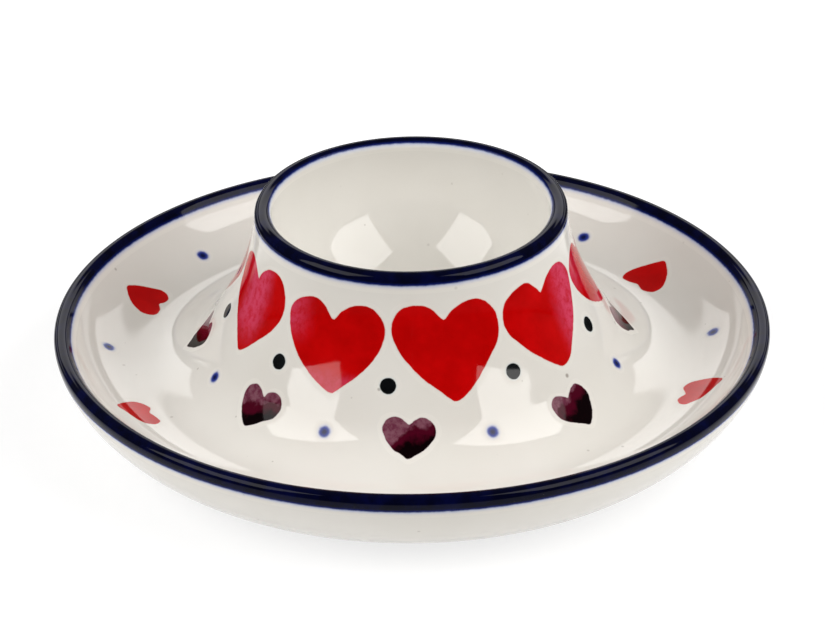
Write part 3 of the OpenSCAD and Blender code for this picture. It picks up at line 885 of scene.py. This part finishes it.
def softbox(name, az, elevation, roll, half_w, half_h):
    """A lamp that faces the object. half_w and half_h are half its sides, as shares of its distance."""
    distance = SOFTBOX_DISTANCE
    data = bpy.data.lights.new(name, "AREA")
    data.shape, data.size, data.size_y = "RECTANGLE", 2 * half_w * distance, 2 * half_h * distance
    data.energy = SOFTBOX_RADIANCE * math.pi * 4 * half_w * half_h * distance**2
    data.color = (1.0, 0.985, 0.965)
    ob = bpy.data.objects.new(name, data)
    bpy.context.scene.collection.objects.link(ob)
    out = Vector((sind(az) * cosd(elevation), -cosd(az) * cosd(elevation), sind(elevation)))
    side = Vector((cosd(az), sind(az), 0))
    head = out.cross(side)
    side, head = cosd(roll) * side + sind(roll) * head, cosd(roll) * head - sind(roll) * side
    place = Matrix((side, head, out)).transposed().to_4x4()
    place.translation = out * distance + Vector((0, 0, 0.02))
    ob.matrix_world = place


softbox("softbox_left", -64.9, 36.9, -1.4, 0.37, 0.32)
softbox("softbox_right", 63.8, 40.0, -4.1, 0.42, 0.36)

# The room by direction, as it lights the object and as the glaze mirrors it. The camera sees only white.
ROOM_FRONT, ROOM_BACK = (0.09, 0.09, 0.09, 1), (0.30, 0.298, 0.295, 1)
MIRRORED_FRONT, MIRRORED_BACK = (0.03, 0.029, 0.028, 1), (0.11, 0.107, 0.103, 1)
BACKDROP, TABLE_END = (1.0, 0.99, 0.975, 1), (0.9, 0.89, 0.875, 1)
PANEL = 1.8
world = bpy.data.worlds.new("studio")
bpy.context.scene.world = world
world.use_nodes = True
n = Nodes(world.node_tree)
world.node_tree.nodes.clear()
right_way, back_way, height = n.parts(n.new("ShaderNodeTexCoord").outputs["Generated"])
front_to_back = n.ramp(back_way, -0.6, 0.3)
path = n.new("ShaderNodeLightPath")
low_behind = n.math("MULTIPLY", n.ramp(back_way, 0.0, 0.35), n.ramp(height, 0.46, 0.40))
room = n.mix(front_to_back, ROOM_FRONT, ROOM_BACK)
room = n.mix(low_behind, room, BACKDROP)
sideways = n.math("DIVIDE", n.math("ABSOLUTE", right_way), n.math("MAXIMUM", back_way, 0.001))
panel_height = n.math("MULTIPLY", n.ramp(height, 0.245, 0.262), n.ramp(height, 0.54, 0.50))
panel = n.math("MULTIPLY", n.ramp(sideways, 0.80, 0.74), panel_height)
table_end = n.math("MULTIPLY", n.ramp(sideways, 1.2, 0.9), n.ramp(height, 0.16, 0.13))
mirrored = n.mix(front_to_back, MIRRORED_FRONT, MIRRORED_BACK)
mirrored = n.mix(table_end, mirrored, TABLE_END)
mirrored = n.mix(panel, mirrored, (PANEL, PANEL * 0.99, PANEL * 0.975, 1))
lit = n.mix(path.outputs["Is Diffuse Ray"], mirrored, room)
shown = n.mix(path.outputs["Is Camera Ray"], lit, (1, 1, 1, 1))
background = n.new("ShaderNodeBackground")
n.link(shown, background.inputs["Color"])
n.link(background.outputs[0], n.new("ShaderNodeOutputWorld").inputs[0])

# The pale table, which fades to white round the object's shadow. Its near part is white in the glaze too.
FLOOR_HALF = 2.0
floor_me = bpy.data.meshes.new("table_top")
floor_corners = [(x * FLOOR_HALF, y * FLOOR_HALF, 0) for x, y in ((-1, -1), (1, -1), (1, 1), (-1, 1))]
floor_me.from_pydata(floor_corners, [], [(0, 1, 2, 3)])
floor = bpy.data.objects.new("table_top", floor_me)
bpy.context.scene.collection.objects.link(floor)
m = bpy.data.materials.new("white_table")
m.use_nodes = True
m.node_tree.nodes.clear()
n = Nodes(m.node_tree)
length = n.new("ShaderNodeVectorMath", operation="LENGTH")
n.link(n.where(), length.inputs[0])
far = n.ramp(length.outputs["Value"], 0.075, 0.12)
path = n.new("ShaderNodeLightPath")
matte = n.new("ShaderNodeBsdfDiffuse")
near = n.ramp(length.outputs["Value"], 0.14, 0.10, 0.0, 0.95)
in_glaze = n.math("MULTIPLY", path.outputs["Is Glossy Ray"], near)
seen = n.math("MAXIMUM", path.outputs["Is Camera Ray"], in_glaze)
far_front_to_near = n.ramp(n.parts(n.where())["Y"], -0.24, -0.13)
# The light that it throws back is dim from far in front, and its far part is near black in the glaze
bounce = n.mix(far_front_to_near, (0.22, 0.22, 0.22, 1), (0.95, 0.95, 0.95, 1))
bounce = n.mix(path.outputs["Is Glossy Ray"], bounce, (0.06, 0.06, 0.06, 1))
n.link(n.mix(seen, bounce, (0.28, 0.28, 0.283, 1)), matte.inputs["Color"])
glow = n.new("ShaderNodeEmission")
n.link(n.math("MULTIPLY", seen, n.ramp(far, 0, 1, 0.77, 1.0, "LINEAR")), glow.inputs["Strength"])
both = n.new("ShaderNodeAddShader")
n.link(matte.outputs[0], both.inputs[0])
n.link(glow.outputs[0], both.inputs[1])
n.link(both.outputs[0], n.new("ShaderNodeOutputMaterial").inputs[0])
floor_me.materials.append(m)

bpy.context.scene.view_settings.view_transform = "Standard"
